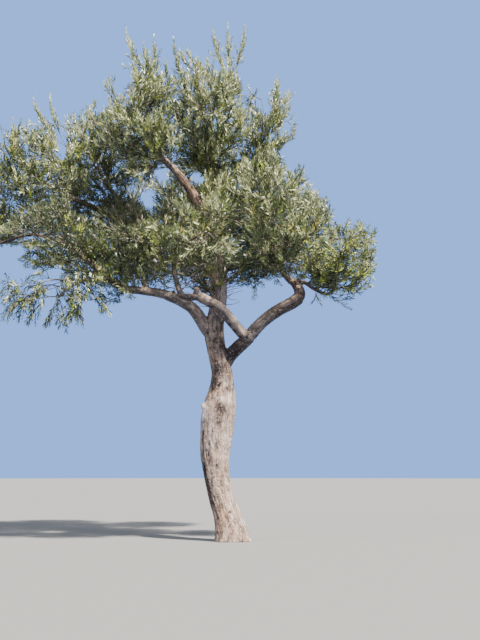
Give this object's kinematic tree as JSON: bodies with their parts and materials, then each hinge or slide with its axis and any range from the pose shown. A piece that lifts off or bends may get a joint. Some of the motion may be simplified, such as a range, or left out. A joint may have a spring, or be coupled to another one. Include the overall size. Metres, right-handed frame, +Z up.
{
  "type": "olive tree",
  "caption": "Olive tree with a leaning, swelling trunk, bare crooked boughs low in the fork and an open, uneven crown of grey-green foliage.",
  "frame": {"origin": "middle of the flat cut under the trunk, at ground level", "axes": "+Z up, +X to the right and +Y away from the side that the picture shows"},
  "size_m": [3.8219, 2.556, 5.14],
  "materials": {
    "bark": "rough grey-brown bark with shallow fissures",
    "young_bark": "smoother brown-grey bark of the boughs",
    "foliage": "small leathery leaves, dull green above and silvery below"
  },
  "bodies": {
    "root": {"trunk": "bark", "leader": "young_bark", "right_bough": "young_bark", "right_crook": "young_bark", "right_side_branch": "young_bark", "crossing_bough": "young_bark", "crossing_crook": "young_bark", "left_bough": "young_bark", "left_spur": "young_bark", "skirt_branch": "young_bark", "far_left_branch": "young_bark", "left_high_bough": "young_bark", "shoulder_branch": "young_bark", "top_bough": "young_bark", "top_right_branch": "young_bark", "back_left_bough": "young_bark", "back_bough": "young_bark", "back_right_bough": "young_bark", "foliage_top": "foliage", "foliage_top_left": "foliage", "foliage_top_right": "foliage", "foliage_left_high": "foliage", "foliage_left_shoulder": "foliage", "foliage_left_tip": "foliage", "foliage_left_low": "foliage", "foliage_left_skirt": "foliage", "foliage_centre": "foliage", "foliage_front": "foliage", "foliage_right": "foliage", "foliage_right_low": "foliage", "foliage_back_left": "foliage", "foliage_back": "foliage", "foliage_back_right": "foliage"}
  },
  "joints": []
}
